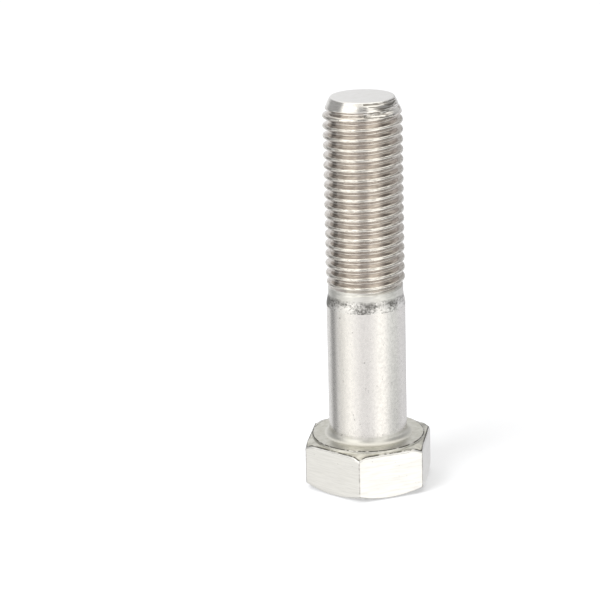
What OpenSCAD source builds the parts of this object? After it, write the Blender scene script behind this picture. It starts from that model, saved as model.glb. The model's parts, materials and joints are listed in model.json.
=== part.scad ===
// Hexagon head bolt, partly threaded. The middle of the bearing face, under the head, is the origin.
// +Z runs along the shank to the point, and two corners of the head lie on the X axis.

/* [Thread] */
// Nominal thread diameter
thread_d = 16; // [15.9:0.05:16.2]
// Pitch of the thread
pitch = 2; // [1.5:0.25:2]
// How far the rolled crest lies under the nominal diameter
crest_allowance = 0.18; // [0.04:0.02:0.3]
// Length of thread, measured from the point
thread_length = 38; // [30:1:44]
// Depth of the first crest below the end face, on the +X side
first_crest = 0.55; // [0:0.05:1.5]

/* [Shank] */
// Length under the head
bolt_length = 69.7; // [60:0.1:100]
// Diameter of the plain shank
shank_d = 15.8; // [15.6:0.05:16]
// Diameter of the blank that the thread is rolled on
blank_d = 15.04; // [14.8:0.02:15.3]
// Length of the cone from the shank down to the blank
shoulder_length = 2.3; // [1:0.1:3]
// Radius of the fillet under the head
fillet_r = 1.2; // [0.6:0.1:1.4]

/* [Point] */
// Diameter of the flat end
end_d = 12.7; // [12:0.1:13.2]
// Angle between the point's cone and the axis
point_angle = 24; // [20:1:35]

/* [Head] */
// Width across the flats
across_flats = 23.84; // [23.2:0.02:24.6]
// Height of the head
head_height = 10.3; // [8:0.1:12]
// Diameter of the washer face
washer_face_d = 22.8; // [21.6:0.1:22.8]
// Height of the washer face
washer_face_h = 0.6; // [0.4:0.1:1]
// Diameter where the top chamfer starts
chamfer_d = 22.8; // [21:0.1:22.8]
// Angle of the top chamfer to the top face
chamfer_angle = 30; // [15:1:30]
// Height of the bevel along the bearing side
rim_bevel_h = 0.55; // [0.2:0.05:0.8]
// Depth of that bevel into the flats
rim_bevel_in = 0.18; // [0.1:0.02:0.2]
// How far the corners are worn down at that bevel
corner_bevel = 0.5; // [0.2:0.1:0.6]

/* [Hidden] */

// Turned surfaces use this many segments
round_steps = 96;

flat_r = across_flats / 2;
corner_r = flat_r / cos(30);
shank_r = shank_d / 2;
blank_r = blank_d / 2;
end_r = end_d / 2;
crest_r = (thread_d - crest_allowance) / 2;

// Stations along the axis
thread_z = bolt_length - thread_length;
rise_z = thread_z - 0.05 * pitch;
crest_z = thread_z + 0.45 * pitch;
neck_z = thread_z - 0.85 * pitch;
shoulder_z = neck_z - shoulder_length;
rim_z = -washer_face_h;

// The thread: 60 degree flanks, a flat crest and a flat-bottomed groove
flank = tan(30);
groove_depth = 17 / 24 * pitch * cos(30);
root_r = thread_d / 2 - groove_depth;
root_half = pitch / 12;
crest_half = pitch / 16 + (thread_d / 2 - crest_r) * flank;
// The groove fades out over this many turns at the shank end
fade_turns = 0.58;
fade_z = thread_z - 0.415 * pitch;

// The thread's surface is a grid of points: columns stand round the axis, and rows follow the helix,
// four to a pitch, along both edges of the crest and both edges of the groove's bottom
columns = 40;
row_z = [-crest_half, crest_half, pitch / 2 - root_half, pitch / 2 + root_half];
per_pitch = len(row_z);
// The grid starts inside the shoulder cone, and its points snap to the end circles when this close
foot_z = neck_z - 0.3 * shoulder_length;
snap = 0.06;
turns_down = ceil((bolt_length - first_crest - foot_z) / pitch) + 1;
first_z = bolt_length - first_crest - turns_down * pitch;
rows = per_pitch * (turns_down + 1);

// How far a point has climbed a slope that starts at low and ends at high, from 0 to 1
function climb(x, low, high) = min(1, max(0, (x - low) / (high - low)));
function ease(x) = x * x * (3 - 2 * x);

// Radius of the point's cone, of the crest and of the groove's bottom at a height
function cone_r(z) = end_r + (bolt_length - z) * tan(point_angle);
function top_r(z) = min(cone_r(z), blank_r + (crest_r - blank_r) * climb(z, rise_z, crest_z));
function bottom_r(z) =
    min(cone_r(z), blank_r - (blank_r - root_r) * ease(climb(z, fade_z, fade_z + fade_turns * pitch)));

// Row j at column i: its height, and its point
function grid_z(j, i) =
    let (turn = floor(j / per_pitch))
    first_z + pitch * (turn + i / columns) + row_z[j - per_pitch * turn];
function ring(r, z) = [for (i = [0 : columns - 1]) [r * cos(360 * i / columns), r * sin(360 * i / columns), z]];
function grid_point(j, i) =
    let (
        z = grid_z(j, i),
        edge = j % per_pitch,
        middle_z = z + (edge == 2 ? root_half : -root_half),
        r = edge < 2 ? top_r(z) : min(cone_r(z), bottom_r(middle_z)),
        a = 360 * i / columns
    )
    [r * cos(a), r * sin(a), z];

// Number of the point that row j has at column i. A row that would leave the part runs along the
// foot's circle or the end's circle, and after a full turn it continues one pitch of rows up.
function grid_index(j, i) =
    i == columns ? grid_index(j + per_pitch, 0) :
    grid_z(j, i) < foot_z + snap ? i :
    grid_z(j, i) > bolt_length - snap ? columns + i :
    columns * (j + 2) + i;

// The thread with its run-out and its chamfered point
module thread() {
    points = concat(
        ring(blank_r, foot_z),
        ring(end_r, bolt_length),
        [for (j = [0 : rows - 1], i = [0 : columns - 1]) grid_point(j, i)]
    );
    walls = [
        for (j = [-per_pitch : rows - 1], i = [0 : columns - 1])
            let (
                a = grid_index(j, i),
                b = grid_index(j, i + 1),
                c = grid_index(j + 1, i + 1),
                d = grid_index(j + 1, i)
            )
            each [
                if (a != d && d != c && a != c) [a, d, c],
                if (a != c && c != b && a != b) [a, c, b]
            ]
    ];
    foot = [for (i = [0 : columns - 1]) i];
    end = [for (i = [columns - 1 : -1 : 0]) columns + i];
    polyhedron(points, concat([foot, end], walls), convexity = 20);
}

// The turned outline above the bearing face: fillet, plain shank and the shoulder's cone, which runs
// on a little inside the thread
module shank() {
    slope = (shank_r - blank_r) / shoulder_length;
    tuck = 0.1;
    rotate_extrude($fn = round_steps)
        difference() {
            polygon([
                [0, rim_z],
                [shank_r + fillet_r, rim_z],
                [shank_r + fillet_r, fillet_r],
                [shank_r, fillet_r],
                [shank_r, shoulder_z],
                [blank_r - tuck, neck_z + tuck / slope],
                [0, neck_z + tuck / slope]
            ]);
            translate([shank_r + fillet_r, fillet_r]) circle(r = fillet_r, $fn = round_steps);
        }
}

// Two opposite flats, bevelled along the bearing side
module flats() {
    rotate([90, 0, 0])
        linear_extrude(height = 3 * corner_r, center = true)
            polygon([
                [-flat_r, -head_height],
                [flat_r, -head_height],
                [flat_r, rim_z - rim_bevel_h],
                [flat_r - rim_bevel_in, rim_z],
                [rim_bevel_in - flat_r, rim_z],
                [-flat_r, rim_z - rim_bevel_h]
            ]);
}

// The head: three pairs of flats, with the corners chamfered round at the top and worn down at the
// bearing side, and the round washer face
module head() {
    over = 0.001;
    rise = (corner_r - chamfer_d / 2) * tan(chamfer_angle);
    translate([0, 0, rim_z]) cylinder(h = washer_face_h, d = washer_face_d, $fn = round_steps);
    intersection() {
        rotate([0, 0, 30]) flats();
        rotate([0, 0, 90]) flats();
        rotate([0, 0, 150]) flats();
        rotate_extrude($fn = round_steps)
            polygon([
                [0, -head_height],
                [chamfer_d / 2, -head_height],
                [corner_r + over, rise - head_height],
                [corner_r + over, rim_z - corner_bevel],
                [corner_r + over - corner_bevel, rim_z],
                [0, rim_z]
            ]);
    }
}

// One solid, cold-formed from a single length of wire
module hex_bolt() {
    color("silver") {
        head();
        shank();
        thread();
    }
}

hex_bolt();
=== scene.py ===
"""Looks of a stainless steel hexagon head bolt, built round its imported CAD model.

The bolt is one solid, so it is one watertight mesh: Head, Shank and Thread each add their own rows of
points to a shared Skin, and name the finish of each of their surfaces.
"""

import json
import logging
import math
from dataclasses import dataclass, field, replace
from enum import Enum

import bmesh
import bpy
import numpy as np
from mathutils import Matrix, Vector


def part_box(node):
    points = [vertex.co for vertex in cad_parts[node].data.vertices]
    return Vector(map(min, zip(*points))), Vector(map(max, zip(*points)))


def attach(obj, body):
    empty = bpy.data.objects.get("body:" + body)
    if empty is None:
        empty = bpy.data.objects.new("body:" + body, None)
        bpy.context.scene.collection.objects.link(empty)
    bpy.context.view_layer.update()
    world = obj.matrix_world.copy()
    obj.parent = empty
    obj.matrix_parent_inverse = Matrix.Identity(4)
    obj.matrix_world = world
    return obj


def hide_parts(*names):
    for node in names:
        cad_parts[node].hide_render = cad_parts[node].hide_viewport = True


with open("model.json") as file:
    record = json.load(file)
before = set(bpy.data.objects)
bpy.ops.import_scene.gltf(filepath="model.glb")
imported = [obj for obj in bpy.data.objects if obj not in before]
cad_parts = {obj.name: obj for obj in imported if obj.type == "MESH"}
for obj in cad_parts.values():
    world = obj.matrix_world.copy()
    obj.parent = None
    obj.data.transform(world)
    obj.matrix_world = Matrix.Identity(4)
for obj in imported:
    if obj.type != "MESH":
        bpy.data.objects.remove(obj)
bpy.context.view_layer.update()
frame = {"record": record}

LOG = logging.getLogger("hex_bolt")
MM = 0.001
NODE = "hex_bolt"
BODY = "root"

Number = np.ndarray | float
Row = tuple[Number, Number]
Span = tuple[float, float]
Colour = tuple[float, float, float]
Socket = bpy.types.NodeSocket


class Zone(Enum):
    """A stretch of the bolt's surface that has one finish."""

    TOP = 0
    FLAT = 1
    BEARING = 2
    SHANK = 3
    SHOULDER = 4
    THREAD = 5
    END = 6
    NECK = 7
    EDGE = 8
    CORNER = 9
    POINT = 10
    BITE = 11
    CREST = 12
    RIM = 13


# ---------------------------------------------------------------------------------------------------
# Sizes
# ---------------------------------------------------------------------------------------------------


@dataclass(frozen=True)
class BoltSizes:
    """The bolt's driving sizes in metres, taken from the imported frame.

    Args:
        flat_r: Distance from the axis to a flat of the head.
        head_z: Height of the head's top face, which is below the bearing face.
        end_z: Height of the flat end.
        shank_r: Radius of the plain shank.
    """

    flat_r: float
    head_z: float
    end_z: float
    shank_r: float

    @classmethod
    def from_frame(cls) -> "BoltSizes":
        """Read the sizes off the CAD node's box and the record's shank mount.

        Returns:
            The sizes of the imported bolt.
        """
        low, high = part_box(NODE)
        shank = next(m for m in frame["record"]["mounts"] if m["name"] == "shank")
        return cls(
            flat_r=(high[1] - low[1]) / 2,
            head_z=low[2],
            end_z=high[2],
            shank_r=shank["dims"]["r_mm"] * MM,
        )


def column_angles() -> np.ndarray:
    """Angles of the mesh's columns, close together at the head's six corners.

    Returns:
        The angles in radians, counted from a corner of the head.
    """
    half = np.array([0, 0.3, 0.65, 1.1, 1.7, 2.6, 3.9, 5.6, 7.6, 9.8, 12.1, 14.5, 17, 19.6, 22.2, 24.8, 27.4])
    sector = np.concatenate([half, [30.0], 60 - half[:0:-1]])
    return np.radians(np.concatenate([sector + 60 * k for k in range(6)]))


ANGLES = column_angles()
COLUMNS = len(ANGLES)
# angle of each column from the nearest corner of the head
OFF_CORNER = np.radians(30 - np.abs(np.degrees(ANGLES) % 60 - 30))
# whether the faces that start at a column lie on a corner's rounding
AT_CORNER = np.maximum(OFF_CORNER, np.roll(OFF_CORNER, -1)) < math.radians(0.7)


def ripple(angle: np.ndarray, height: np.ndarray, seed: int, spread: float) -> np.ndarray:
    """A smooth, repeatable unevenness over the surface, about -1 to 1.

    Args:
        angle: Angles round the axis, in radians.
        height: Heights in metres, of the same shape or one number.
        seed: Picks one of many patterns.
        spread: Length along the axis over which the pattern changes, in metres.

    Returns:
        The unevenness at each point.
    """
    rng = np.random.default_rng(seed)
    total = np.zeros(np.broadcast(angle, height).shape)
    for turns in (1, 2, 3, 5, 8, 13):
        phase, climb = rng.uniform(0, math.tau, 2)
        rate = rng.uniform(0.5, 1.5) * math.tau / spread
        total = total + np.sin(turns * angle + rate * height + phase) * np.cos(0.6 * rate * height + climb)
    return total / 3


def ease(x: Number, span: Span = (0.0, 1.0)) -> Number:
    """How far a value has gone along a span, smoothed at both ends.

    Args:
        x: The values.
        span: Where the result is 0 and where it is 1.

    Returns:
        The share at each place, 0 to 1.
    """
    share = np.clip((x - span[0]) / (span[1] - span[0]), 0, 1)
    return share * share * (3 - 2 * share)


def soft_min(a: np.ndarray, b: np.ndarray, blend: float) -> np.ndarray:
    """The smaller of two values, rounded over where they meet.

    Args:
        a: First values.
        b: Second values.
        blend: Width of the rounding, in the values' unit.

    Returns:
        The smaller value at each place.
    """
    share = np.clip(0.5 + (b - a) / (2 * blend), 0, 1)
    return b * (1 - share) + a * share - blend * share * (1 - share)


# ---------------------------------------------------------------------------------------------------
# Mesh
# ---------------------------------------------------------------------------------------------------


@dataclass
class Skin:
    """The bolt's surface while it is being built: rings of points, faces and the finish of each zone."""

    points: list[np.ndarray] = field(default_factory=list)
    faces: list[list[int]] = field(default_factory=list)
    zones: list[Zone] = field(default_factory=list)
    finishes: "dict[Zone, SteelFinish]" = field(default_factory=dict)
    count: int = 0

    def add(self, points: np.ndarray) -> int:
        """Add points.

        Args:
            points: One row of x, y, z for each point, in metres.

        Returns:
            The number of the first point added.
        """
        first = self.count
        self.points.append(points)
        self.count += len(points)
        return first

    def ring(self, radius: Number, height: Number) -> int:
        """Add one point in each column.

        Args:
            radius: Distance from the axis, one number or one for each column.
            height: Height, one number or one for each column.

        Returns:
            The number of the ring's first point.
        """
        r = np.broadcast_to(radius, (COLUMNS,))
        z = np.broadcast_to(height, (COLUMNS,))
        return self.add(np.stack([r * np.cos(ANGLES), r * np.sin(ANGLES), z], axis=1))

    def face(self, corners: list[int], zone: Zone) -> None:
        """Add one face without the corners that repeat the one before, or nothing if under 3 are left.

        Args:
            corners: Its points, anticlockwise from outside.
            zone: Its finish.
        """
        kept = [c for n, c in enumerate(corners) if c != corners[n - 1]]
        if len(set(kept)) == len(kept) >= 3:
            self.faces.append(kept)
            self.zones.append(zone)

    def band(self, low: int, high: int, zone: Zone, corner: Zone | None = None) -> None:
        """Join two rings whose outside is to the right when walking from low to high.

        Args:
            low: First point of the ring that comes first along the profile.
            high: First point of the ring that comes next.
            zone: The finish of the faces between them.
            corner: Another finish for the faces at the head's corners, or None.
        """
        for i in range(COLUMNS):
            j = (i + 1) % COLUMNS
            # faces on a corner's rounding take the corner finish, which paints a darker line of shade
            worn = corner is not None and AT_CORNER[i]
            self.face([low + i, low + j, high + j, high + i], corner if worn else zone)

    def profile(self, start: int, rows: list[Row], zone: Zone, corner: Zone | None = None) -> int:
        """Add several rings one after another.

        Args:
            start: The ring to go on from.
            rows: Radius and height of each ring.
            zone: The finish of the faces.
            corner: Another finish for the faces at the head's corners, or None.

        Returns:
            The last ring's first point.
        """
        for radius, height in rows:
            ring = self.ring(radius, height)
            self.band(start, ring, zone, corner)
            start = ring
        return start

    def close(self, ring: int, height: float, facing_up: bool, zone: Zone) -> None:
        """Close a ring with a fan of faces round a middle point.

        Args:
            ring: The ring's first point.
            height: Height of the middle point.
            facing_up: Whether the fan's outside faces up.
            zone: The finish of the faces.
        """
        middle = self.add(np.array([[0.0, 0.0, height]]))
        for i in range(COLUMNS):
            j = (i + 1) % COLUMNS
            edge = [ring + i, ring + j] if facing_up else [ring + j, ring + i]
            self.face(edge + [middle], zone)

    def to_object(self, name: str) -> bpy.types.Object:
        """Make the finished surface into a Blender object with its materials.

        Args:
            name: Name of the object and its mesh.

        Returns:
            The new object, linked to the scene.
        """
        mesh = bpy.data.meshes.new(name)
        mesh.from_pydata(np.concatenate(self.points).tolist(), [], self.faces)
        for zone in Zone:
            mesh.materials.append(self.finishes[zone].material())
        mesh.polygons.foreach_set("material_index", [z.value for z in self.zones])
        mesh.polygons.foreach_set("use_smooth", [True] * len(self.faces))
        mesh.validate()
        mesh.update()
        # points that no face uses are dropped
        edit = bmesh.new()
        edit.from_mesh(mesh)
        loose = [point for point in edit.verts if not point.link_faces]
        bmesh.ops.delete(edit, geom=loose, context="VERTS")
        edit.to_mesh(mesh)
        edit.free()
        made = bpy.data.objects.new(name, mesh)
        bpy.context.scene.collection.objects.link(made)
        return made


# ---------------------------------------------------------------------------------------------------
# Finishes
# ---------------------------------------------------------------------------------------------------


@dataclass(frozen=True)
class Relief:
    """One layer of fine relief on a finish.

    Args:
        stretch: Features to a millimetre along x, y and z.
        depth: Depth in metres.
        detail: Number of finer octaves.
        warp: How much the pattern is bent.
        turn: Turn of the pattern about the bolt's axis, in degrees.
    """

    stretch: tuple[float, float, float]
    depth: float
    detail: float = 2.0
    warp: float = 0.0
    turn: float = 0.0


@dataclass(frozen=True)
class Specks:
    """Sparse dark specks, such as the pits that pickling leaves.

    Args:
        relief: Their pattern and depth.
        cover: The part of the pattern, from its low end, that is a speck.
        colour: Colour in a speck.
    """

    relief: Relief
    cover: Span
    colour: Colour


@dataclass(frozen=True)
class Tide:
    """A change of colour and gloss that starts at one height and has gone at another, unevenly.

    Args:
        colour: Colour where it is whole.
        gloss: Roughness where it is whole.
        full_z: Height where it is whole, in metres.
        end_z: Height where it has gone, in metres.
        waver: How uneven those heights are, in metres.
    """

    colour: Colour
    gloss: float
    full_z: float
    end_z: float
    waver: float = 0.4 * MM


@dataclass
class NodeBoard:
    """A material's node tree, with short ways to add what the finishes need."""

    tree: bpy.types.NodeTree

    def node(self, kind: str, **settings: object) -> bpy.types.Node:
        """Add a node and set its properties.

        Args:
            kind: Blender's name for the type of node.
            **settings: Properties to set on it.

        Returns:
            The new node.
        """
        made = self.tree.nodes.new(kind)
        for name, value in settings.items():
            setattr(made, name, value)
        return made

    def link(self, start: Socket, end: Socket) -> None:
        """Join an output to an input."""
        self.tree.links.new(start, end)

    def noise(self, relief: Relief) -> Socket:
        """A noise texture laid out in millimetres.

        Args:
            relief: Its features to a millimetre, octaves and bend.

        Returns:
            The noise, about 0.3 to 0.7.
        """
        place = self.node("ShaderNodeTexCoord")
        scale = self.node("ShaderNodeMapping")
        scale.inputs["Scale"].default_value = [s / MM for s in relief.stretch]
        scale.inputs["Rotation"].default_value = (0, 0, math.radians(relief.turn))
        noise = self.node("ShaderNodeTexNoise")
        noise.inputs["Scale"].default_value = 1.0
        noise.inputs["Detail"].default_value = relief.detail
        noise.inputs["Distortion"].default_value = relief.warp
        self.link(place.outputs["Object"], scale.inputs["Vector"])
        self.link(scale.outputs["Vector"], noise.inputs["Vector"])
        return noise.outputs["Fac"]

    def math(self, operation: str, first: Socket, second: Socket | float) -> Socket:
        """Work out one number from two.

        Args:
            operation: Blender's name for the sum.
            first: The first number.
            second: The second number.

        Returns:
            The result.
        """
        made = self.node("ShaderNodeMath", operation=operation)
        self.link(first, made.inputs[0])
        if isinstance(second, float):
            made.inputs[1].default_value = second
        else:
            self.link(second, made.inputs[1])
        return made.outputs[0]

    def average(self, first: Socket, second: Socket) -> Socket:
        """The mean of two values."""
        return self.math("MULTIPLY", self.math("ADD", first, second), 0.5)

    def height(self, waver: float) -> Socket:
        """Height on the bolt, made uneven.

        Args:
            waver: How uneven, in metres.

        Returns:
            The height in metres.
        """
        place = self.node("ShaderNodeTexCoord")
        split = self.node("ShaderNodeSeparateXYZ")
        self.link(place.outputs["Object"], split.inputs["Vector"])
        uneven = self.math("MULTIPLY_ADD", self.noise(Relief((0.6, 0.6, 0.6), 0.0)), waver * 2)
        uneven.node.inputs[2].default_value = -waver
        return self.math("ADD", split.outputs["Z"], uneven)

    @staticmethod
    def tint(colour: Colour) -> tuple[float, float, float, float]:
        """A colour as Blender's inputs hold it."""
        return (*colour, 1.0)

    def mix_number(self, share: Socket, first: float, second: Socket) -> Socket:
        """Mix two numbers by a share.

        Args:
            share: 0 for the first number, 1 for the second.
            first: The first number.
            second: The second number.

        Returns:
            The mixed number.
        """
        mix = self.node("ShaderNodeMix", data_type="FLOAT")
        self.link(share, mix.inputs[0])
        mix.inputs[2].default_value = first
        self.link(second, mix.inputs[3])
        return mix.outputs[0]

    def spread(self, value: Socket, source: Span, target: Span) -> Socket:
        """Map a range of values onto another, and hold the ends.

        Args:
            value: The value to map.
            source: The range it has.
            target: The range it gets.

        Returns:
            The mapped value.
        """
        mapped = self.node("ShaderNodeMapRange")
        mapped.inputs["From Min"].default_value = source[0]
        mapped.inputs["From Max"].default_value = source[1]
        mapped.inputs["To Min"].default_value = target[0]
        mapped.inputs["To Max"].default_value = target[1]
        self.link(value, mapped.inputs["Value"])
        return mapped.outputs["Result"]

    def blend(self, share: Socket, first: tuple | Socket, second: tuple | Socket) -> Socket:
        """Mix two colours by a share.

        Args:
            share: 0 for the first colour, 1 for the second.
            first: A colour, or a socket that gives one.
            second: A colour, or a socket that gives one.

        Returns:
            The mixed colour.
        """
        mix = self.node("ShaderNodeMix", data_type="RGBA")
        self.link(share, mix.inputs[0])
        for place, colour in ((6, first), (7, second)):
            if isinstance(colour, tuple):
                mix.inputs[place].default_value = colour
            else:
                self.link(colour, mix.inputs[place])
        return mix.outputs[2]

    def bump(self, height: Socket, depth: float, under: Socket | None) -> Socket:
        """Roughen the surface by a height.

        Args:
            height: The height's pattern.
            depth: Depth of a change of 1 in the pattern, in metres.
            under: The normal of a coarser bump, or None.

        Returns:
            The bent normal.
        """
        bump = self.node("ShaderNodeBump")
        bump.inputs["Distance"].default_value = depth
        self.link(height, bump.inputs["Height"])
        if under is not None:
            self.link(under, bump.inputs["Normal"])
        return bump.outputs["Normal"]


@dataclass(frozen=True)
class SteelFinish:
    """A stainless steel surface: tint, gloss and relief.

    Args:
        name: Name of the material.
        light: Colour of the clean metal.
        dark: Colour where it is duller.
        mottle: Relief whose pattern also varies the colour and the gloss.
        mottle_range: The part of the pattern over which the colour changes.
        gloss: Lowest and highest roughness.
        reliefs: Layers of relief, the coarsest first.
        drift: A slower pattern that gathers the mottle in clouds, or None.
        specks: Sparse dark specks, or None.
        tide: A change of finish with height, or None.
    """

    name: str
    light: Colour
    dark: Colour
    mottle: Relief
    mottle_range: Span
    gloss: Span
    reliefs: tuple[Relief, ...]
    drift: Relief | None = None
    specks: Specks | None = None
    tide: Tide | None = None

    def material(self) -> bpy.types.Material:
        """Build the material.

        Returns:
            The new material.
        """
        made = bpy.data.materials.new(self.name)
        made.use_nodes = True
        board = NodeBoard(made.node_tree)
        shader = made.node_tree.nodes["Principled BSDF"]
        shader.inputs["Metallic"].default_value = 1.0
        pattern = board.noise(self.mottle)
        if self.drift is not None:
            pattern = board.average(pattern, board.noise(self.drift))
        share = board.spread(pattern, self.mottle_range, (0, 1))
        colour = board.blend(share, board.tint(self.dark), board.tint(self.light))
        rough = board.spread(share, (0, 1), self.gloss[::-1])
        normal = board.bump(pattern, self.mottle.depth, None)
        for layer in self.reliefs:
            normal = board.bump(board.noise(layer), layer.depth, normal)
        if self.specks is not None:
            pits = board.noise(self.specks.relief)
            clear = board.spread(pits, self.specks.cover, (0, 1))
            colour = board.blend(clear, board.tint(self.specks.colour), colour)
            normal = board.bump(clear, self.specks.relief.depth, normal)
        if self.tide is not None:
            tide = self.tide
            above = board.spread(board.height(tide.waver), (tide.full_z, tide.end_z), (0, 1))
            colour = board.blend(above, board.tint(tide.colour), colour)
            rough = board.mix_number(above, tide.gloss, rough)
        board.link(colour, shader.inputs["Base Color"])
        board.link(rough, shader.inputs["Roughness"])
        board.link(normal, shader.inputs["Normal"])
        return made


# ---------------------------------------------------------------------------------------------------
# The bolt
# ---------------------------------------------------------------------------------------------------


@dataclass
class Head:
    """The hexagon head, from its top face, which is lowest, round to the bearing face.

    Args:
        sizes: The bolt's driving sizes.
        corner_round: Radius of the six upright corners.
        chamfer_r: Radius where the top chamfer starts.
        chamfer_slope: Rise of the chamfer over its run.
        washer_r: Radius of the washer face.
        washer_h: Height of the washer face.
        rim_h: Height of the bevel along the bearing side.
        rim_in: How far that bevel goes in.
        corner_wear: How far the corners are worn down at that bevel.
        wear_spread: Angle either side of a corner over which that wear fades, in radians.
        waviness: Unevenness of the flats.
        nick: Depth of the nicks along the bevel's edge.
        edge: Radius of the small edges.
    """

    sizes: BoltSizes
    corner_round: float = 0.35 * MM
    chamfer_r: float = 11.4 * MM
    chamfer_slope: float = math.tan(math.radians(30))
    washer_r: float = 11.4 * MM
    washer_h: float = 0.6 * MM
    rim_h: float = 0.5 * MM
    rim_in: float = 0.18 * MM
    corner_wear: float = 0.5 * MM
    wear_spread: float = math.radians(3.5)
    waviness: float = 0.01 * MM
    nick: float = 0.03 * MM
    edge: float = 0.14 * MM

    def outline(self, inset: Number = 0.0) -> np.ndarray:
        """The hexagon with rounded corners.

        Args:
            inset: How far the outline lies inside the flats.

        Returns:
            Its radius in each column.
        """
        flat = self.sizes.flat_r - inset
        off_flat = math.pi / 6 - OFF_CORNER
        middle = (flat - self.corner_round) / math.cos(math.pi / 6)
        turn = np.sqrt(np.maximum(self.corner_round**2 - (middle * np.sin(OFF_CORNER)) ** 2, 0))
        rounded = middle * np.cos(OFF_CORNER) + turn
        touch = np.arctan((flat - self.corner_round) * math.tan(math.pi / 6) / flat)
        return np.where(off_flat < touch, flat / np.cos(off_flat), rounded)

    def chamfer_z(self, radius: Number) -> Number:
        """Height of the chamfer's cone at a distance from the axis."""
        return self.sizes.head_z + (radius - self.chamfer_r) * self.chamfer_slope

    def shelf_z(self) -> np.ndarray:
        """Height of the shelf between the flats and the washer face, in each column."""
        return -self.washer_h - self.corner_wear * np.exp(-((OFF_CORNER / self.wear_spread) ** 2))

    def mesh(self, skin: Skin, inner_r: float) -> int:
        """Add the head's surface.

        Args:
            skin: The surface to add to.
            inner_r: Radius where the fillet leaves the bearing face.

        Returns:
            The ring at the inner edge of the bearing face.
        """
        shelf_z = self.shelf_z()
        rim_z = shelf_z - self.rim_h * (1 + 0.2 * ripple(ANGLES * 3, 0.0, 5, 1.0))
        last = self.mesh_top(skin)
        last = self.mesh_sides(skin, last, rim_z)
        last = self.mesh_rim(skin, last, rim_z, shelf_z)
        return self.mesh_bearing(skin, last, shelf_z, inner_r)

    def mesh_top(self, skin: Skin) -> int:
        """Add the flat top and the chamfer's cone, cut off by the hexagon.

        Args:
            skin: The surface to add to.

        Returns:
            The ring at the outer edge of the chamfer.
        """
        top_z = self.sizes.head_z
        dull = self.edge
        first = skin.ring(self.chamfer_r * 0.12, top_z)
        skin.close(first, top_z, False, Zone.TOP)
        rows = [(self.chamfer_r * share, top_z) for share in (0.3, 0.5, 0.7, 0.86, 0.96)]
        rows.append((self.chamfer_r - dull, top_z))
        rows.append((self.chamfer_r + dull * 0.1, top_z + dull * 0.12))
        inner = self.chamfer_r + dull * 0.8
        outer = self.outline() - dull
        for share in (0.0, 0.25, 0.5, 0.75, 1.0):
            radius = np.maximum(inner + (outer - inner) * share, self.chamfer_r + dull * 0.2)
            rows.append((radius, self.chamfer_z(radius)))
        return skin.profile(first, rows, Zone.TOP)

    def mesh_sides(self, skin: Skin, start: int, rim_z: np.ndarray) -> int:
        """Add the six flats, which are a little uneven, as sheared and rolled faces are.

        Args:
            skin: The surface to add to.
            start: The ring at the outer edge of the chamfer.
            rim_z: Height where the flats end and the rim's bevel starts, in each column.

        Returns:
            The ring where the rim's bevel starts.
        """
        hexagon = self.outline()
        dull = self.edge
        edge_z = self.chamfer_z(hexagon)
        rows = [(hexagon - dull * 0.25, edge_z + dull * 0.1), (hexagon, edge_z + dull * 0.9)]
        for share in (0.08, 0.2, 0.35, 0.5, 0.65, 0.8, 0.92, 1.0):
            z = edge_z + dull * 0.9 + (rim_z - edge_z - dull * 1.5) * share
            swell = self.waviness * ripple(ANGLES * 2, z, 11, 9 * MM) * math.sin(math.pi * share)
            rows.append((hexagon - self.waviness + swell, z))
        # the faces on the six corners take the corner finish, a painted darker line of shade
        return skin.profile(start, rows, Zone.FLAT, Zone.CORNER)

    def mesh_rim(self, skin: Skin, start: int, rim_z: np.ndarray, shelf_z: np.ndarray) -> int:
        """Add the bevel along the bearing side and its worn, nicked upper edge, which carries a painted
        broken line of shade.

        Args:
            skin: The surface to add to.
            start: The ring where the bevel starts.
            rim_z: Height of that ring.
            shelf_z: Height of the shelf, in each column.

        Returns:
            The ring at the outer edge of the shelf.
        """
        dull = self.edge
        nick = self.nick * ripple(ANGLES * 6, 0.0, 23, 1.0)
        last = skin.profile(start, [(self.outline(0.02 * MM), rim_z)], Zone.FLAT)
        # this ring takes the corner finish, a painted darker line of shade
        last = skin.profile(last, [(self.outline(0.05 * MM), rim_z + dull * 0.6)], Zone.CORNER)
        bevel = [
            (self.outline(self.rim_in * 0.5), rim_z * 0.5 + shelf_z * 0.5),
            (self.outline(self.rim_in * 0.8), shelf_z - dull * 1.4),
        ]
        last = skin.profile(last, bevel, Zone.FLAT)
        # the rim's finish paints a broken dark line of shade on these rows
        worn = [
            (self.outline(self.rim_in) + nick * 0.4, shelf_z - dull * 0.25 + nick),
            (self.outline(self.rim_in + dull * 1.3) + nick * 1.5, shelf_z + nick * 0.6),
        ]
        return skin.profile(last, worn, Zone.RIM)

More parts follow.
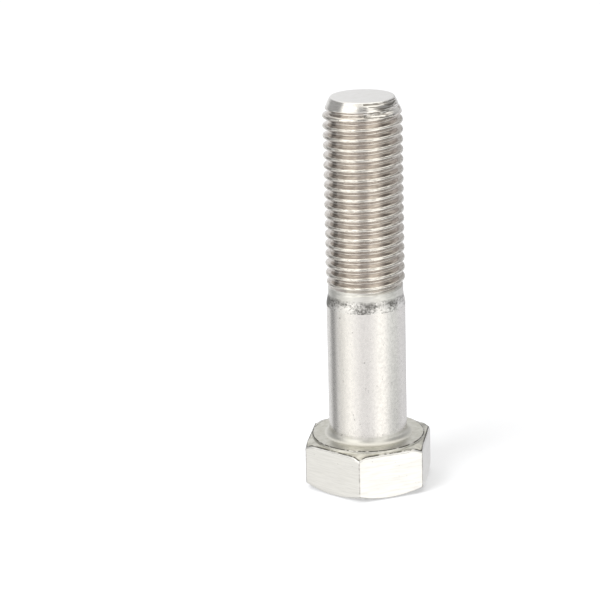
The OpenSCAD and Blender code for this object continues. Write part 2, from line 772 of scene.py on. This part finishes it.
    def mesh_bearing(self, skin: Skin, start: int, shelf_z: np.ndarray, inner_r: float) -> int:
        """Add the shelf, which levels out to the washer face, that face's wall and its lip, and the face.

        Args:
            skin: The surface to add to.
            start: The ring at the outer edge of the shelf.
            shelf_z: Height of the shelf's outer edge, in each column.
            inner_r: Radius where the fillet leaves the bearing face.

        Returns:
            The ring at the inner edge of the bearing face.
        """
        ground = -self.washer_h
        wall_r = self.washer_r + 0.012 * MM * ripple(ANGLES * 4, 0.0, 41, 1.0)
        slope_r = np.maximum(self.outline(self.rim_in + 0.26 * MM), wall_r + 0.11 * MM)
        shelf_r = np.maximum(self.outline(self.rim_in + 0.4 * MM), wall_r + 0.09 * MM)
        wall = [
            (slope_r, shelf_z * 0.9 + ground * 0.1),
            (shelf_r, shelf_z * 0.4 + ground * 0.6),
            (wall_r + 0.06 * MM, ground + 0.02 * MM),
            (wall_r + 0.01 * MM, ground + 0.08 * MM),
            (wall_r, ground + 0.22 * MM),
            (wall_r - 0.01 * MM, -0.13 * MM),
        ]
        last = skin.profile(start, wall, Zone.BEARING)
        lip = [
            (wall_r - 0.03 * MM, -0.05 * MM),
            (wall_r - 0.1 * MM, -0.008 * MM),
            (wall_r - 0.2 * MM, 0.0),
        ]
        # the lip's finish paints a broken dark line of shade
        last = skin.profile(last, lip, Zone.EDGE)
        outer = self.washer_r - 0.32 * MM
        face = [(outer + (inner_r - outer) * share, 0.0) for share in (0.0, 0.25, 0.5, 0.75, 0.9, 1.0)]
        return skin.profile(last, face, Zone.BEARING)

    def dress(self, skin: Skin) -> None:
        """Name the finishes of the head's surfaces."""
        skin.finishes[Zone.TOP] = SteelFinish(
            name="head_top_satin",
            light=(0.74, 0.73, 0.7),
            dark=(0.66, 0.65, 0.62),
            mottle=Relief((1.1, 1.1, 1.1), 0.005 * MM, 4.0, 0.4),
            mottle_range=(0.38, 0.62),
            gloss=(0.3, 0.42),
            reliefs=(Relief((5, 5, 5), 0.006 * MM, 3.0), Relief((0.9, 8, 8), 0.003 * MM)),
            specks=Specks(Relief((2.2, 2.2, 2.2), 0.004 * MM, 1.0), (0.24, 0.31), (0.42, 0.41, 0.39)),
        )
        skin.finishes[Zone.FLAT] = SteelFinish(
            name="brushed_flats",
            light=(0.86, 0.855, 0.835),
            dark=(0.79, 0.785, 0.765),
            mottle=Relief((0.3, 0.3, 4.0), 0.002 * MM, 4.0, 0.6),
            mottle_range=(0.36, 0.62),
            gloss=(0.28, 0.38),
            reliefs=(Relief((0.9, 0.9, 12), 0.0013 * MM, 3.0, 0.3), Relief((4, 4, 7), 0.002 * MM, 2.0)),
            specks=Specks(Relief((1.3, 1.3, 2.0), 0.002 * MM, 1.0), (0.2, 0.26), (0.6, 0.59, 0.57)),
        )
        skin.finishes[Zone.BEARING] = SteelFinish(
            name="bearing_satin",
            light=(0.66, 0.652, 0.605),
            dark=(0.57, 0.562, 0.51),
            mottle=Relief((0.9, 0.9, 2.2), 0.006 * MM, 4.0, 0.6),
            mottle_range=(0.36, 0.62),
            gloss=(0.32, 0.42),
            reliefs=(Relief((4, 4, 6), 0.005 * MM, 3.0),),
        )
        # the near-black dark colour of the edge and rim finishes is painted shade: a broken dark line along
        # the washer face's lip and the rim's upper edge
        skin.finishes[Zone.EDGE] = SteelFinish(
            name="edges_painted_shade",
            light=(0.6, 0.59, 0.56),
            dark=(0.1, 0.095, 0.085),
            mottle=Relief((0.7, 0.7, 0.7), 0.008 * MM, 3.0, 0.6),
            mottle_range=(0.5, 0.63),
            gloss=(0.3, 0.45),
            reliefs=(Relief((5, 5, 5), 0.008 * MM, 2.0),),
        )
        skin.finishes[Zone.RIM] = replace(
            skin.finishes[Zone.EDGE],
            name="rim_painted_shade",
            dark=(0.14, 0.133, 0.12),
            mottle_range=(0.53, 0.67),
        )
        # the corner finish is painted shade: it darkens the six upright corners and the line where the flats
        # meet the rim's bevel
        skin.finishes[Zone.CORNER] = SteelFinish(
            name="corners_painted_shade",
            light=(0.72, 0.71, 0.69),
            dark=(0.5, 0.49, 0.47),
            mottle=Relief((1.2, 1.2, 1.2), 0.004 * MM, 3.0, 0.5),
            mottle_range=(0.4, 0.62),
            gloss=(0.3, 0.42),
            reliefs=(Relief((5, 5, 5), 0.004 * MM, 2.0),),
        )


@dataclass
class Shank:
    """The fillet under the head, the plain shank and the shoulder's cone down to the rolled blank.

    Args:
        sizes: The bolt's driving sizes.
        fillet: Width of the fillet on the bearing face.
        fillet_h: Height of the fillet.
        shoulder_down: Distance from the end down to where the cone starts.
        shoulder_length: Length of the cone.
        shoulder_wave: How far the cone's start wanders up and down.
        blank_r: Radius of the blank that the thread is rolled on.
        waviness: Unevenness of the turned surface.
    """

    sizes: BoltSizes
    fillet: float = 1.0 * MM
    fillet_h: float = 1.3 * MM
    shoulder_down: float = 42.0 * MM
    shoulder_length: float = 2.3 * MM
    shoulder_wave: float = 0.1 * MM
    blank_r: float = 7.52 * MM
    waviness: float = 0.01 * MM

    def mesh(self, skin: Skin, start: int) -> int:
        """Add the shank's surface.

        Args:
            skin: The surface to add to.
            start: The ring at the inner edge of the bearing face.

        Returns:
            The last ring of the neck.
        """
        radius = self.sizes.shank_r - self.waviness
        centre = self.sizes.shank_r + self.fillet
        fillet = []
        for turn in np.radians((10, 22, 34, 46, 58, 70, 80, 90)):
            fillet.append((centre - (centre - radius) * math.sin(turn), self.fillet_h * (1 - math.cos(turn))))
        last = skin.profile(start, fillet, Zone.SHANK)
        foot_z = self.shoulder_z()
        plain = []
        for z in np.linspace(self.fillet_h + 0.6 * MM, foot_z - 0.3 * MM, 30):
            plain.append((radius + self.waviness * ripple(ANGLES, z, 3, 14 * MM), z))
        last = skin.profile(last, plain, Zone.SHANK)
        cone = []
        for share in np.linspace(0, 1, 17):
            wave = self.shoulder_wave * ripple(ANGLES * 2, 0.0, 53, 1.0) * math.cos(math.pi / 2 * share)
            fall = (radius - self.blank_r) * ease(0.05 + 0.9 * share)
            rough = self.waviness * ripple(ANGLES * 7, foot_z + share * MM, 31, 1.6 * MM)
            row_r = radius - fall + rough * math.sin(math.pi * share)
            cone.append((row_r, foot_z + self.shoulder_length * share + wave))
        return skin.profile(last, cone, Zone.SHOULDER)

    def shoulder_z(self) -> float:
        """Height where the shoulder's cone starts."""
        return self.sizes.end_z - self.shoulder_down

    def dress(self, skin: Skin) -> None:
        """Name the finishes of the shank's surfaces."""
        skin.finishes[Zone.SHANK] = SteelFinish(
            name="pickled_shank",
            light=(0.79, 0.772, 0.748),
            dark=(0.705, 0.69, 0.672),
            mottle=Relief((2.2, 2.2, 1.7), 0.004 * MM, 5.0, 0.5),
            mottle_range=(0.32, 0.6),
            gloss=(0.24, 0.34),
            reliefs=(Relief((0.5, 0.5, 0.09), 0.02 * MM, 2.0), Relief((6, 6, 5), 0.0018 * MM, 2.0)),
            specks=Specks(Relief((1.6, 1.6, 1.2), 0.006 * MM, 2.0), (0.23, 0.31), (0.42, 0.41, 0.4)),
            tide=Tide((0.665, 0.657, 0.615), 0.38, 0.7 * MM, 1.9 * MM),
        )
        skin.finishes[Zone.SHOULDER] = SteelFinish(
            name="frosted_shoulder",
            light=(0.8, 0.79, 0.77),
            dark=(0.22, 0.215, 0.205),
            mottle=Relief((2.4, 2.4, 2.4), 0.05 * MM, 4.0, 0.8),
            mottle_range=(0.45, 0.6),
            gloss=(0.3, 0.5),
            reliefs=(Relief((6, 6, 6), 0.012 * MM, 3.0),),
            drift=Relief((0.22, 0.22, 0.35), 0.0, 1.0, turn=16.0),
            tide=Tide((0.74, 0.735, 0.705), 0.4, 30.1 * MM, 29.3 * MM),
        )
        skin.finishes[Zone.NECK] = SteelFinish(
            name="satin_neck",
            light=(0.74, 0.735, 0.705),
            dark=(0.66, 0.655, 0.625),
            mottle=Relief((0.8, 0.8, 3), 0.005 * MM, 4.0, 0.5),
            mottle_range=(0.36, 0.62),
            gloss=(0.34, 0.46),
            reliefs=(Relief((5, 5, 5), 0.005 * MM, 2.0),),
        )


@dataclass(frozen=True)
class Bite:
    """The place on the point where the dies first bit, and left folds and a shallow groove.

    Args:
        side: Direction in which it lies, in radians.
        spread: Angle either side of it over which the folds fade, in radians.
        fades: Distances from the end down to the groove where the folds have gone and where they are full.
        shallow: Share of the groove's depth that is missing.
        swell: How far the point's cone is pushed out.
        fold: Height of the folds.
        fold_gap: Distance between the folds.
        torn: Roughness of the torn steel.
        reach: Angle either side of it that has the folded finish, in radians.
        down: How far down from the end that finish goes.
    """

    side: float = math.radians(286)
    spread: float = math.radians(32)
    fades: Span = (4.2 * MM, 1.7 * MM)
    shallow: float = 0.2
    swell: float = 0.17 * MM
    fold: float = 0.018 * MM
    fold_gap: float = 0.52 * MM
    torn: float = 0.022 * MM
    reach: float = math.radians(38)
    down: float = 2.9 * MM

    def strength(self, groove_down: np.ndarray) -> np.ndarray:
        """How strongly the folds show.

        Args:
            groove_down: Distance from the end down to the groove, in each column.

        Returns:
            The strength in each column, 0 to 1.
        """
        near = np.exp(-(((ANGLES - self.side) / self.spread) ** 2))
        return near * ease(groove_down, self.fades)


@dataclass
class Thread:
    """The rolled thread with its run-out, the chamfered point and the flat end.

    Args:
        sizes: The bolt's driving sizes.
        pitch: Pitch of the thread.
        flank: Angle between a flank and a line square to the axis, in radians.
        crest_round: Radius of the crests' rounding.
        root_round: Radius of the rounding at the bottom of the groove.
        flank_row: Distance along the axis from the middle of a crest to a row on its flank.
        crest_r: Radius of the crests.
        blank_r: Radius of the blank, which the neck keeps.
        length: Length of thread from the end.
        crest_rises: Heights over the neck where the crest starts to rise and where it is full.
        groove_sinks: Heights over the neck where the groove starts to sink and where it is full.
        groove_starts: Distances from the end between which the groove gets its full depth.
        shallow_start: Share of that depth that is missing at the first of them.
        waviness: Unevenness of the rolled surface.
        first_crest: Depth of the first crest below the end, in the first column.
        end_r: Radius of the flat end.
        point_slope: Change of radius over length on the point.
        point_swell: How far the point bulges out of its cone.
        swell_down: Distance from the end down to where the bulge is full.
        point_blend: Width of the rounding where the thread runs out on the point.
        snap: How near the foot or the end a row joins its circle.
        end_edge: Radius of the edge round the flat end.
        bite: The place where the thread starts on the point.
        point_down: How far down from the end the point's finish goes elsewhere.
        rubbed: How far under a crest's top the rubbed finish goes, on its upper and its lower side.
        neck_down: How far below the thread's length the neck's finish starts.
    """

    sizes: BoltSizes
    pitch: float = 2.0 * MM
    flank: float = math.radians(27.5)
    crest_round: float = 0.42 * MM
    root_round: float = 0.25 * MM
    flank_row: float = 0.55 * MM
    crest_r: float = 7.91 * MM
    blank_r: float = 7.52 * MM
    length: float = 38.0 * MM
    crest_rises: Span = (-0.1 * MM, 0.9 * MM)
    groove_sinks: Span = (-0.83 * MM, 0.33 * MM)
    groove_starts: Span = (1.2 * MM, 3.6 * MM)
    shallow_start: float = 0.2
    waviness: float = 0.004 * MM
    first_crest: float = 0.55 * MM
    end_r: float = 6.35 * MM
    point_slope: float = math.tan(math.radians(24))
    point_swell: float = 0.05 * MM
    swell_down: float = 0.9 * MM
    point_blend: float = 0.06 * MM
    snap: float = 0.05 * MM
    end_edge: float = 0.14 * MM
    bite: Bite = Bite()
    point_down: float = 2.1 * MM
    rubbed: Span = (0.12 * MM, 0.05 * MM)
    neck_down: float = 0.25 * MM

    def tooth(self) -> list[tuple[float, float]]:
        """One side of the thread's section, from the middle of the crest to the middle of the groove.

        Returns:
            Offset along the axis and depth under the crest, of each row.
        """
        half = self.pitch / 2
        rows = []
        for share in (0.0, 0.33, 0.67, 1.0):
            turn = (math.pi / 2 - self.flank) * share
            rows.append((self.crest_round * math.sin(turn), self.crest_round * (1 - math.cos(turn))))
        start_x, start_depth = rows[-1]
        for x in (self.flank_row, half - self.root_round * math.cos(self.flank)):
            rows.append((x, start_depth + (x - start_x) / math.tan(self.flank)))
        bottom = rows[-1][1] + self.root_round * (1 - math.sin(self.flank))
        turn = self.flank + (math.pi / 2 - self.flank) * 0.5
        x = half - self.root_round * math.cos(turn)
        rows.append((x, bottom - self.root_round * (1 - math.sin(turn))))
        rows.append((half, bottom))
        return rows

    def section(self) -> list[tuple[float, float, bool]]:
        """One whole pitch of the section, from the middle of a crest up to just under the next.

        Returns:
            Offset, depth under the crest, and whether the row lies above the groove's middle.
        """
        side = self.tooth()
        low = [(x, depth, False) for x, depth in side]
        high = [(self.pitch - x, depth, True) for x, depth in side[-2:0:-1]]
        return low + high

    def mesh(self, skin: Skin, foot: int, foot_z: float) -> None:
        """Add the thread, the point and the end.

        Args:
            skin: The surface to add to.
            foot: The last ring of the neck.
            foot_z: Height of that ring.
        """
        end_z = self.sizes.end_z
        lip_z = end_z - self.end_edge * 1.2
        lip = skin.ring(self.end_r + (end_z - lip_z) * self.point_slope, lip_z)
        section = self.section()
        per_pitch = len(section)
        turns_down = math.ceil((end_z - self.first_crest - foot_z) / self.pitch) + 1
        first_z = end_z - self.first_crest - turns_down * self.pitch
        rows = per_pitch * (turns_down + 1)
        columns = np.arange(COLUMNS)
        # the rows follow the helix, and where one leaves the part it runs along the foot's or the end's ring
        heights = np.empty((rows + 2 * per_pitch, COLUMNS))
        numbers = np.empty_like(heights, dtype=int)
        for n in range(len(heights)):
            row = n - per_pitch
            offset, depth, _ = section[row % per_pitch]
            base_z = first_z + self.pitch * (row // per_pitch + ANGLES / math.tau)
            z = base_z + offset
            heights[n] = z
            if 0 <= row < rows:
                numbers[n] = skin.ring(self.radius(z, base_z + self.pitch / 2, depth), z) + columns
            numbers[n] = np.where(z < foot_z + self.snap, foot + columns, numbers[n])
            numbers[n] = np.where(z > lip_z - self.snap, lip + columns, numbers[n])
        # after a full turn a row goes on one pitch further up
        ahead = np.roll(numbers, -1, axis=1)
        ahead[:-per_pitch, -1] = numbers[per_pitch:, 0]
        for n in range(len(heights) - per_pitch - 1):
            _, depth, above = section[n % per_pitch]
            on_crest = depth < self.rubbed[1 if above else 0]
            for i in range(COLUMNS):
                corners = [numbers[n][i], ahead[n][i], ahead[n + 1][i], numbers[n + 1][i]]
                skin.face([int(c) for c in corners], self.zone(heights[n][i], ANGLES[i], on_crest))
        self.close_end(skin, lip, end_z)

    def zone(self, z: float, angle: float, on_crest: bool) -> Zone:
        """The finish at a place on the thread.

        Args:
            z: Height.
            angle: Angle round the axis, in radians.
            on_crest: Whether the place is on the crest's rounding.

        Returns:
            The place's finish.
        """
        down = self.sizes.end_z - z
        if down > self.length + self.neck_down:
            return Zone.NECK
        bitten = abs(angle - self.bite.side) < self.bite.reach
        if down > (self.bite.down if bitten else self.point_down):
            # off the crests the thread's finish is darker, partly a duller rolled tone and partly painted
            # shade of the grooves
            return Zone.CREST if on_crest else Zone.THREAD
        return Zone.BITE if bitten else Zone.POINT

    def radius(self, z: np.ndarray, groove_z: np.ndarray, depth: float) -> np.ndarray:
        """Radius of one row of the thread.

        Args:
            z: Height in each column.
            groove_z: Height of the middle of the row's groove in each column.
            depth: The row's depth under the crest where the thread is full.

        Returns:
            The radius in each column.
        """
        neck_z = self.sizes.end_z - self.length
        down = self.sizes.end_z - z
        groove_down = self.sizes.end_z - groove_z
        # the crest rises and the groove sinks over about half a turn from the neck
        rise = ease(z - neck_z, self.crest_rises)
        fall = ease(groove_z - neck_z, self.groove_sinks)
        # the groove is shallow on the point, and more so where the dies first bit
        bite = self.bite.strength(groove_down)
        missing = self.shallow_start * (1 - ease(groove_down, self.groove_starts))
        fall = fall * (1 - self.bite.shallow * bite) * (1 - missing)
        full = self.crest_r - depth - self.blank_r
        rolled = self.blank_r + full * np.where(full > 0, rise, fall)
        swell = (self.point_swell + self.bite.swell * bite) * ease(down, (0.0, self.swell_down))
        cone = self.end_r + down * self.point_slope + swell
        wander = self.waviness * ripple(ANGLES, z, 17, 5 * MM)
        fold = self.bite.fold * np.sin(math.tau * down / self.bite.fold_gap) * bite
        torn = self.bite.torn * ripple(ANGLES * 9, z, 61, 0.9 * MM) * bite
        return soft_min(rolled + wander, cone + fold, self.point_blend) + torn

    def close_end(self, skin: Skin, lip: int, end_z: float) -> None:
        """Round the edge of the end and close it.

        Args:
            skin: The surface to add to.
            lip: The ring at the top of the cone.
            end_z: Height of the flat end.
        """
        dull = self.end_edge
        edge = [
            (self.end_r + dull * 0.12, end_z - dull * 0.5),
            (self.end_r - dull * 0.2, end_z - dull * 0.16),
            (self.end_r - dull * 0.8, end_z),
        ]
        last = skin.profile(lip, edge, Zone.END)
        flat = [((self.end_r - dull) * share, end_z) for share in (0.95, 0.85, 0.7, 0.5, 0.3, 0.12)]
        last = skin.profile(last, flat, Zone.END)
        skin.close(last, end_z, True, Zone.END)

    def dress(self, skin: Skin) -> None:
        """Name the finishes of the thread and the end."""
        # the thread's base colour is darker than the crests' and the shank's: partly a duller rolled tone,
        # partly painted shade of the grooves and flanks
        skin.finishes[Zone.THREAD] = SteelFinish(
            name="rolled_thread_tone_and_shade",
            light=(0.68, 0.64, 0.598),
            dark=(0.485, 0.446, 0.412),
            mottle=Relief((0.45, 0.45, 5), 0.005 * MM, 4.0, 0.4),
            mottle_range=(0.36, 0.6),
            gloss=(0.08, 0.18),
            reliefs=(Relief((1.2, 1.2, 16), 0.0012 * MM, 2.0), Relief((4, 4, 4), 0.002 * MM, 2.0)),
            specks=Specks(Relief((1.4, 1.4, 2.2), 0.006 * MM, 2.0), (0.2, 0.27), (0.3, 0.28, 0.26)),
        )
        skin.finishes[Zone.CREST] = SteelFinish(
            name="rubbed_crests",
            light=(0.76, 0.735, 0.69),
            dark=(0.53, 0.5, 0.46),
            mottle=Relief((0.8, 0.8, 3), 0.004 * MM, 4.0, 0.6),
            mottle_range=(0.38, 0.58),
            gloss=(0.1, 0.2),
            reliefs=(Relief((1.2, 1.2, 12), 0.0012 * MM, 2.0), Relief((4, 4, 4), 0.002 * MM, 2.0)),
            specks=Specks(Relief((1.1, 1.1, 1.6), 0.006 * MM, 2.0), (0.24, 0.3), (0.34, 0.32, 0.3)),
        )
        skin.finishes[Zone.END] = SteelFinish(
            name="sheared_end",
            light=(0.855, 0.85, 0.845),
            dark=(0.81, 0.805, 0.8),
            mottle=Relief((0.7, 0.7, 0.7), 0.001 * MM, 3.0, 0.3),
            mottle_range=(0.3, 0.7),
            gloss=(0.28, 0.36),
            reliefs=(Relief((0.4, 4, 3), 0.0022 * MM, 3.0, turn=22.0), Relief((6, 6, 6), 0.001 * MM)),
        )
        skin.finishes[Zone.POINT] = SteelFinish(
            name="pressed_point",
            light=(0.78, 0.765, 0.74),
            dark=(0.66, 0.645, 0.62),
            mottle=Relief((0.5, 0.5, 3), 0.002 * MM, 3.0, 0.4),
            mottle_range=(0.36, 0.6),
            gloss=(0.14, 0.24),
            reliefs=(Relief((4, 4, 4), 0.002 * MM, 2.0),),
        )
        skin.finishes[Zone.BITE] = SteelFinish(
            name="folded_point",
            light=(0.82, 0.8, 0.77),
            dark=(0.26, 0.245, 0.225),
            mottle=Relief((0.32, 0.32, 2.6), 0.012 * MM, 3.0, 0.9),
            mottle_range=(0.42, 0.55),
            gloss=(0.14, 0.3),
            reliefs=(Relief((2, 2, 5), 0.006 * MM, 3.0),),
        )


@dataclass
class HexBolt:
    """The whole bolt, one piece of steel.

    Args:
        sizes: The bolt's driving sizes.
    """

    sizes: BoltSizes

    def build(self) -> bpy.types.Object:
        """Build the bolt, put it on its CAD body and dress it.

        Returns:
            The bolt's object.
        """
        head, shank, thread = Head(self.sizes), Shank(self.sizes), Thread(self.sizes)
        skin = Skin()
        bearing = head.mesh(skin, self.sizes.shank_r + shank.fillet)
        neck = shank.mesh(skin, bearing)
        thread.mesh(skin, neck, shank.shoulder_z() + shank.shoulder_length)
        for part in (head, shank, thread):
            part.dress(skin)
        bolt = skin.to_object("hex_bolt_body")
        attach(bolt, BODY)
        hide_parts(NODE)
        LOG.info("%s: %d points, %d faces", bolt.name, len(bolt.data.vertices), len(bolt.data.polygons))
        return bolt


# ---------------------------------------------------------------------------------------------------
# Studio
# ---------------------------------------------------------------------------------------------------


@dataclass(frozen=True)
class Band:
    """How bright the room is in one direction.

    Args:
        side: Angle from the camera's side of the bolt, in degrees, rising anticlockwise from above.
        light: Brightness.
        tint: Red, green and blue of the light.
    """

    side: float
    light: float
    tint: Colour = (1.0, 1.0, 1.0)


# a ramp's colour stops at 1, so the rings of light hold this many times less than the room gives
RING_GAIN = 3.0
CREAM = (1.0, 0.985, 0.945)
ROSE = (1.0, 0.985, 0.98)
SAGE = (0.985, 1.0, 0.98)
LILAC = (0.985, 0.98, 1.0)


@dataclass
class Studio:
    """A pale table in a white tent, with a softbox on each side of the camera.

    The steel sees the room as rings of light, one over the other. A direction's height is the z of its
    unit vector, from -1 straight down to 1 straight up.

    Args:
        floor_z: Height of the table.
        camera_side: Direction of the camera from the bolt, in degrees from +X.
        glow: Light that the table, a lit sheet, gives out itself.
        near: Brightness of the table close to the bolt, as the steel sees it.
        table: Brightness of the table further out.
        tent: Brightness round the tent above the table.
        under: Light straight below, before RING_GAIN.
        overhead: Light straight above, before RING_GAIN.
        near_at: Heights between which the light from below gives way to near.
        table_at: Heights between which near gives way to table.
        tent_at: Heights between which table gives way to tent.
        overhead_at: Heights between which tent gives way to the light from above.
        backdrop: Light of the white backdrop that the camera sees past the table.
        table_reach: Distance from the bolt to each side of the table.
        lamp_at: Place of the lamp, which is aimed at the bolt.
        lamp_size: Diameter of the lamp.
        lamp_power: Power of the lamp, in watts.
    """

    floor_z: float
    camera_side: float
    glow: float = 0.33
    near: tuple[Band, ...] = (
        Band(-180, 0.95),
        Band(-122, 0.7),
        Band(-104, 0.62, ROSE),
        Band(-84, 0.8, CREAM),
        Band(-66, 1.35, CREAM),
        Band(-56, 1.5, CREAM),
        Band(-30, 1.5, CREAM),
        Band(-20, 0.92, ROSE),
        Band(8, 0.92, ROSE),
        Band(20, 1.6, CREAM),
        Band(44, 1.6, CREAM),
        Band(62, 0.95, ROSE),
        Band(76, 0.3, ROSE),
        Band(108, 0.3, ROSE),
        Band(126, 0.95),
        Band(180, 0.95),
    )
    table: tuple[Band, ...] = (
        Band(-180, 0.95, LILAC),
        Band(-150, 0.95),
        Band(-130, 0.85),
        Band(-123, 0.25),
        Band(-106, 0.25),
        Band(-98, 0.86),
        Band(-80, 0.92, CREAM),
        Band(-62, 1.12, CREAM),
        Band(-48, 1.28, CREAM),
        Band(-34, 1.06, ROSE),
        Band(22, 1.03, ROSE),
        Band(36, 1.38, CREAM),
        Band(54, 1.38, CREAM),
        Band(70, 1.13, SAGE),
        Band(95, 0.95, SAGE),
        Band(110, 0.92, LILAC),
        Band(160, 0.76, LILAC),
        Band(180, 0.93, LILAC),
    )
    tent: tuple[Band, ...] = (
        Band(-180, 0.87),
        Band(-170, 1.0),
        Band(-148, 0.8),
        Band(-130, 0.44),
        Band(-80, 0.44),
        Band(-68, 1.7, CREAM),
        Band(-24, 1.7, CREAM),
        Band(-14, 0.46),
        Band(8, 0.46),
        Band(18, 1.35, CREAM),
        Band(46, 1.35, CREAM),
        Band(58, 0.42),
        Band(118, 0.42),
        Band(140, 0.6),
        Band(170, 0.62),
        Band(180, 0.84),
    )
    under: Colour = (0.05, 0.047, 0.043)
    overhead: Colour = (0.47, 0.46, 0.435)
    near_at: Span = (-0.97, -0.9)
    table_at: Span = (-0.41, -0.35)
    tent_at: Span = (-0.02, 0.12)
    overhead_at: Span = (0.57, 0.8)
    backdrop: float = 1.05
    table_reach: float = 4.0
    lamp_at: tuple[float, float, float] = (-0.85, -0.35, 0.95)
    lamp_size: float = 0.7
    lamp_power: float = 10.0

    def build(self) -> None:
        """Make the room's light, the table and the lamp over it."""
        self.room()
        self.floor()
        self.lamp()

    def bands(self, board: NodeBoard, turn: Socket, bands: tuple[Band, ...]) -> Socket:
        """Turn a list of bands into a ring of light.

        Args:
            board: The world's node tree.
            turn: Share of a full turn from behind the bolt.
            bands: The bands in order of side.

        Returns:
            The light's colour.
        """
        ramp = board.node("ShaderNodeValToRGB")
        stops = ramp.color_ramp.elements
        while len(stops) < len(bands):
            stops.new(0.5)
        for stop, band in zip(stops, bands):
            stop.position = (band.side + 180) / 360
            stop.color = (*(band.light * t / RING_GAIN for t in band.tint), 1)
        board.link(turn, ramp.inputs["Fac"])
        return ramp.outputs["Color"]

    def room(self) -> None:
        """The light that the steel reflects, and a white backdrop for what the camera sees past the table."""
        world = bpy.data.worlds.new("tent")
        bpy.context.scene.world = world
        world.use_nodes = True
        board = NodeBoard(world.node_tree)
        place = board.node("ShaderNodeTexCoord")
        turned = board.node("ShaderNodeVectorRotate", rotation_type="Z_AXIS")
        turned.inputs["Angle"].default_value = -math.radians(self.camera_side)
        split = board.node("ShaderNodeSeparateXYZ")
        board.link(place.outputs["Generated"], turned.inputs["Vector"])
        board.link(turned.outputs["Vector"], split.inputs["Vector"])
        angle = board.node("ShaderNodeMath", operation="ARCTAN2")
        board.link(split.outputs["Y"], angle.inputs[0])
        board.link(split.outputs["X"], angle.inputs[1])
        turn = board.spread(angle.outputs["Value"], (-math.pi, math.pi), (0, 1))
        light = board.tint(self.under)
        layers = [
            (self.near_at, self.bands(board, turn, self.near)),
            (self.table_at, self.bands(board, turn, self.table)),
            (self.tent_at, self.bands(board, turn, self.tent)),
            (self.overhead_at, board.tint(self.overhead)),
        ]
        for heights, layer in layers:
            light = board.blend(board.spread(split.outputs["Z"], heights, (0, 1)), light, layer)
        room = world.node_tree.nodes["Background"]
        room.inputs["Strength"].default_value = RING_GAIN
        board.link(light, room.inputs["Color"])
        backdrop = board.node("ShaderNodeBackground")
        backdrop.inputs["Color"].default_value = (1, 1, 1, 1)
        backdrop.inputs["Strength"].default_value = self.backdrop
        ray = board.node("ShaderNodeLightPath")
        choose = board.node("ShaderNodeMixShader")
        board.link(ray.outputs["Is Camera Ray"], choose.inputs[0])
        board.link(room.outputs[0], choose.inputs[1])
        board.link(backdrop.outputs[0], choose.inputs[2])
        board.link(choose.outputs[0], world.node_tree.nodes["World Output"].inputs["Surface"])
        bpy.context.scene.view_settings.view_transform = "Standard"

    def floor(self) -> None:
        """The pale table."""
        reach = self.table_reach
        mesh = bpy.data.meshes.new("table_top")
        corners = [(-reach, -reach), (reach, -reach), (reach, reach), (-reach, reach)]
        mesh.from_pydata([(x, y, self.floor_z) for x, y in corners], [], [[0, 1, 2, 3]])
        table = bpy.data.objects.new("table_top", mesh)
        bpy.context.scene.collection.objects.link(table)
        paint = bpy.data.materials.new("table_white")
        paint.use_nodes = True
        board = NodeBoard(paint.node_tree)
        shader = paint.node_tree.nodes["Principled BSDF"]
        shader.inputs["Roughness"].default_value = 0.6
        shader.inputs["Specular IOR Level"].default_value = 0.2
        grain = board.spread(board.noise(Relief((0.02, 0.02, 0.02), 0.0)), (0.3, 0.7), (0, 1))
        white = board.blend(grain, board.tint((0.54, 0.55, 0.575)), board.tint((0.56, 0.57, 0.595)))
        board.link(white, shader.inputs["Base Color"])
        shader.inputs["Emission Color"].default_value = (1, 1, 1, 1)
        shader.inputs["Emission Strength"].default_value = self.glow
        mesh.materials.append(paint)
        table.visible_glossy = False

    def lamp(self) -> None:
        """A wide lamp over the table that casts the bolt's soft shadow."""
        light = bpy.data.lights.new("table_lamp", "AREA")
        light.shape = "DISK"
        light.size = self.lamp_size
        light.energy = self.lamp_power
        lamp = bpy.data.objects.new("table_lamp", light)
        lamp.location = self.lamp_at
        lamp.rotation_euler = (-Vector(lamp.location)).to_track_quat("-Z", "Y").to_euler()
        lamp.visible_glossy = False
        bpy.context.scene.collection.objects.link(lamp)


@dataclass
class StudioCamera:
    """The camera, placed round the bolt's axis.

    Args:
        side: Direction of the camera from the bolt, in degrees from +X.
        reach: Distance from the axis.
        height: Height over the bearing face.
        heading: Direction it looks in, in degrees from +Y, anticlockwise.
        tilt: How far it looks down, in degrees.
        roll: Turn about its own line of sight, in degrees.
        lens: Focal length on a 36 mm wide sensor, in millimetres.
    """

    side: float = -111.895
    reach: float = 443.6 * MM
    height: float = 167.83 * MM
    heading: float = -20.194
    tilt: float = 17.456
    roll: float = -1.572
    lens: float = 139.38

    def build(self) -> None:
        """Make the camera and use it."""
        lens = bpy.data.cameras.new("studio_camera")
        lens.lens = self.lens
        lens.sensor_width = 36.0
        lens.clip_start = 0.01
        camera = bpy.data.objects.new("studio_camera", lens)
        side = math.radians(self.side)
        place = Matrix.Translation((self.reach * math.cos(side), self.reach * math.sin(side), self.height))
        turn = Matrix.Rotation(math.radians(self.heading), 4, "Z")
        tilt = Matrix.Rotation(math.radians(90 - self.tilt), 4, "X")
        roll = Matrix.Rotation(math.radians(self.roll), 4, "Z")
        camera.matrix_world = place @ turn @ tilt @ roll
        bpy.context.scene.collection.objects.link(camera)
        bpy.context.scene.camera = camera


def main() -> None:
    """Build the bolt, the studio and the camera."""
    logging.basicConfig(level=logging.INFO, format="%(name)s: %(message)s")
    sizes = BoltSizes.from_frame()
    camera = StudioCamera()
    camera.build()
    HexBolt(sizes).build()
    Studio(floor_z=sizes.head_z, camera_side=camera.side).build()


if __name__ == "__main__":
    main()
